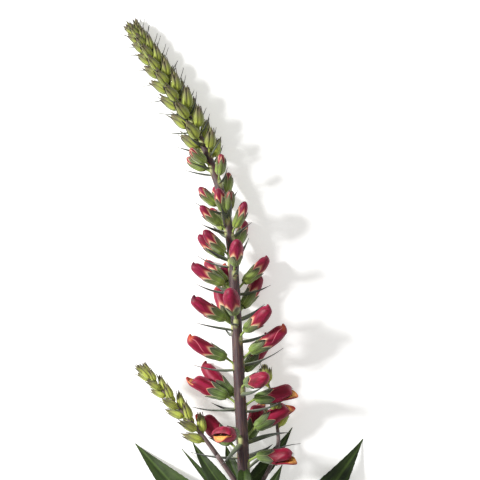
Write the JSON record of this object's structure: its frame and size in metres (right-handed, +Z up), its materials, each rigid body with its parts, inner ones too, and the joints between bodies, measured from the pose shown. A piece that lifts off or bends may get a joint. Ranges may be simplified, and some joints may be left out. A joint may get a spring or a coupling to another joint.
{
  "type": "foxglove flower spike",
  "caption": "Picked foxglove spike lying on its side: a leaning stalk with a spiral of red tubular florets in green calyxes, green buds at the tip, side shoots and leaves.",
  "frame": {"origin": "on the surface that the spike lies on, under the middle of its outline", "axes": "+Y runs from the stalk's cut end towards its tip, +Z is up from the surface, +X is to the right seen from above"},
  "size_m": [0.2051, 0.4955, 0.0723],
  "materials": {
    "stalk": "satin",
    "corolla": "satin",
    "shoot": "satin",
    "leaf": "satin"
  },
  "bodies": {
    "root": {"flower_stalk": "stalk", "corolla_00": "corolla", "corolla_01": "corolla", "corolla_02": "corolla", "corolla_03": "corolla", "corolla_04": "corolla", "corolla_05": "corolla", "corolla_06": "corolla", "corolla_07": "corolla", "corolla_08": "corolla", "corolla_09": "corolla", "corolla_11": "corolla", "corolla_12": "corolla", "corolla_15": "corolla", "corolla_16": "corolla", "corolla_17": "corolla", "corolla_18": "corolla", "corolla_19": "corolla", "corolla_20": "corolla", "corolla_22": "corolla", "corolla_23": "corolla", "corolla_24": "corolla", "corolla_25": "corolla", "corolla_27": "corolla", "corolla_28": "corolla", "corolla_29": "corolla", "corolla_30": "corolla", "corolla_31": "corolla", "corolla_32": "corolla", "corolla_34": "corolla", "corolla_35": "corolla", "corolla_36": "corolla", "corolla_37": "corolla", "corolla_38": "corolla", "corolla_41": "corolla", "corolla_42": "corolla", "corolla_44": "corolla", "side_shoot_left": "shoot", "side_shoot_right": "shoot", "leaf_low_left": "leaf", "leaf_low_right": "leaf", "leaf_left": "leaf", "leaf_left_narrow": "leaf", "leaf_back": "leaf", "leaf_right": "leaf", "leaf_right_upper": "leaf", "leaf_front": "leaf"}
  },
  "joints": []
}
